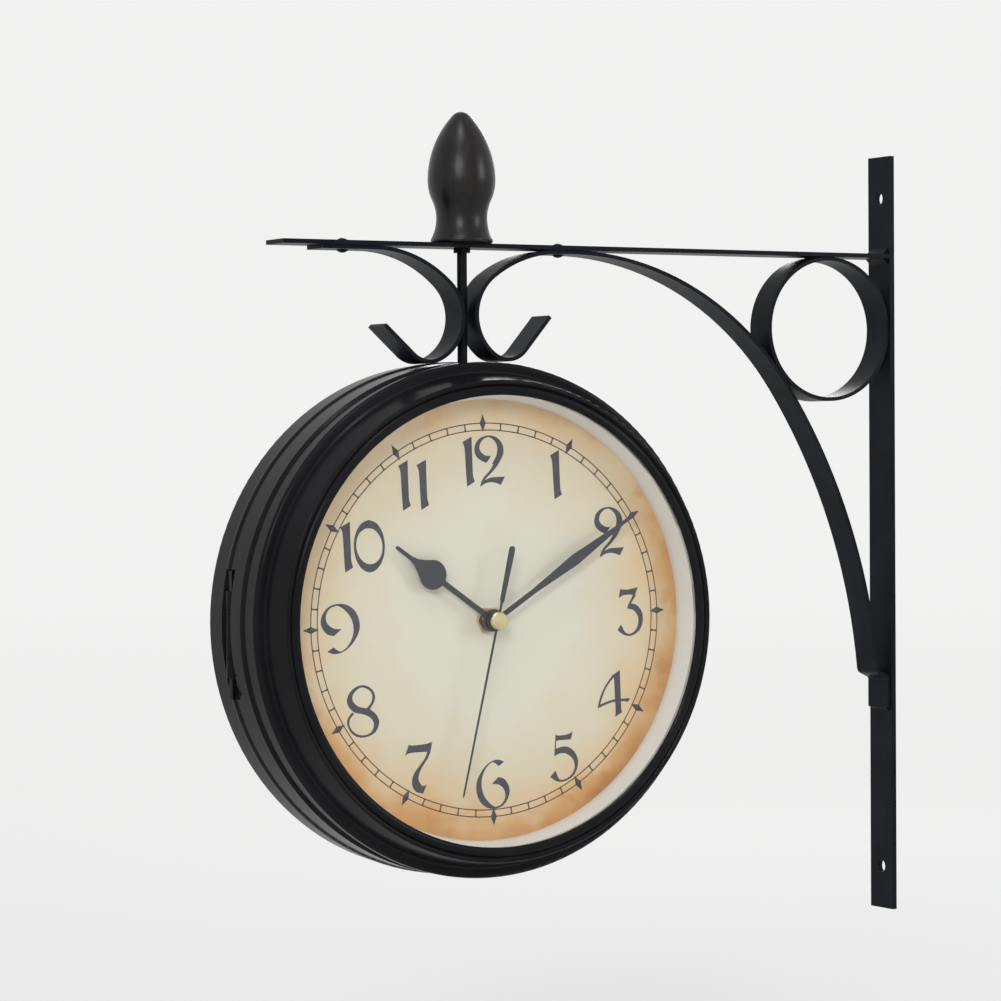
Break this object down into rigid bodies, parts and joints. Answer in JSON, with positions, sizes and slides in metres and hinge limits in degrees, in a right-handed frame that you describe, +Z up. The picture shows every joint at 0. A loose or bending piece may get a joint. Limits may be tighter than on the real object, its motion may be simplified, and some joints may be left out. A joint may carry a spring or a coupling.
{
  "type": "double sided station clock",
  "caption": "Wall clock with a dial on each side of a round metal drum, hung by a rod from a scrolled flat-bar bracket; the rear half opens on a hinge.",
  "frame": {"origin": "centre of the wall bar's back face, where it lies on the wall", "axes": "+X into the wall, +Z up, so the arm reaches along -X and the front dial looks along -Y"},
  "size_m": [0.3452, 0.078, 0.3727],
  "materials": {
    "bracket_paint": "satin black paint over wrought flat bar",
    "drum_paint": "semi-gloss black enamel on pressed sheet",
    "finial_wood": "dark stained and varnished hardwood",
    "zinc_steel": "zinc-plated steel",
    "dial_glass": "clear flat glass",
    "reveal_cream": "cream painted ring",
    "dial_print": "aged cream print, browner at the rim",
    "movement_plastic": "black moulded case",
    "battery_can": "plain metal can",
    "washer_rubber": "black rubber",
    "brass": "polished brass",
    "hand_black": "matt black sheet",
    "knob_plastic": "dark grey moulded knob"
  },
  "bodies": {
    "bracket": {"wall_bar": "bracket_paint", "arm_bar": "bracket_paint", "end_scroll": "bracket_paint", "brace_scroll": "bracket_paint", "corner_ring": "bracket_paint", "weld_beads": "bracket_paint", "arm_rivets": "bracket_paint", "finial": "finial_wood", "hanging_rod": "bracket_paint", "rod_nuts": "bracket_paint", "saddle_washer": "zinc_steel", "hinge_pin": "zinc_steel", "door_catch": "zinc_steel", "front_shell": "drum_paint", "front_glass": "dial_glass", "front_reveal_ring": "reveal_cream", "front_dial": "dial_print", "front_dial_clips": "zinc_steel", "front_movement": "movement_plastic", "front_battery": "battery_can", "front_rubber_washer": "washer_rubber", "front_shaft_bush": "brass", "front_shaft_nut": "brass", "front_hinge_leaf": "drum_paint"},
    "rear_door": {"rear_shell": "drum_paint", "rear_glass": "dial_glass", "rear_reveal_ring": "reveal_cream", "rear_dial": "dial_print", "rear_dial_clips": "zinc_steel", "rear_movement": "movement_plastic", "rear_battery": "battery_can", "rear_rubber_washer": "washer_rubber", "rear_shaft_bush": "brass", "rear_shaft_nut": "brass", "rear_hinge_leaf": "drum_paint"},
    "front_minute": {"front_minute_hand": "hand_black"},
    "front_hour": {"front_hour_hand": "hand_black"},
    "front_second": {"front_second_hand": "hand_black", "front_hand_cap": "brass"},
    "front_knob": {"front_set_knob": "knob_plastic"},
    "rear_minute": {"rear_minute_hand": "hand_black"},
    "rear_hour": {"rear_hour_hand": "hand_black"},
    "rear_second": {"rear_second_hand": "hand_black", "rear_hand_cap": "brass"},
    "rear_knob": {"rear_set_knob": "knob_plastic"}
  },
  "joints": [
    {"name": "door_swing", "type": "hinge", "parent": "bracket", "child": "rear_door", "pos_m": [-0.342, 0.00515, -0.03981], "axis": [0, 0, 1], "range_deg": [0, 95]},
    {"name": "front_minute_turn", "type": "hinge", "parent": "bracket", "child": "front_minute", "pos_m": [-0.2295, 0, -0.03531], "axis": [0, 1, 0], "continuous": true},
    {"name": "front_hour_turn", "type": "hinge", "parent": "bracket", "child": "front_hour", "pos_m": [-0.2295, 0, -0.03531], "axis": [0, 1, 0], "continuous": true},
    {"name": "front_second_turn", "type": "hinge", "parent": "bracket", "child": "front_second", "pos_m": [-0.2295, 0, -0.03531], "axis": [0, 1, 0], "continuous": true},
    {"name": "front_knob_turn", "type": "hinge", "parent": "bracket", "child": "front_knob", "pos_m": [-0.2155, 0, -0.02531], "axis": [0, 1, 0], "continuous": true},
    {"name": "rear_minute_turn", "type": "hinge", "parent": "rear_door", "child": "rear_minute", "pos_m": [-0.2295, 0, -0.03531], "axis": [0, -1, 0], "continuous": true},
    {"name": "rear_hour_turn", "type": "hinge", "parent": "rear_door", "child": "rear_hour", "pos_m": [-0.2295, 0, -0.03531], "axis": [0, -1, 0], "continuous": true},
    {"name": "rear_second_turn", "type": "hinge", "parent": "rear_door", "child": "rear_second", "pos_m": [-0.2295, 0, -0.03531], "axis": [0, -1, 0], "continuous": true},
    {"name": "rear_knob_turn", "type": "hinge", "parent": "rear_door", "child": "rear_knob", "pos_m": [-0.2435, 0, -0.02531], "axis": [0, -1, 0], "continuous": true}
  ],
  "couplings": [
    {"joint": "front_hour_turn", "follows": "front_minute_turn", "ratio": 0.083333},
    {"joint": "front_knob_turn", "follows": "front_minute_turn", "ratio": 1},
    {"joint": "rear_hour_turn", "follows": "rear_minute_turn", "ratio": 0.083333},
    {"joint": "rear_knob_turn", "follows": "rear_minute_turn", "ratio": 1}
  ]
}
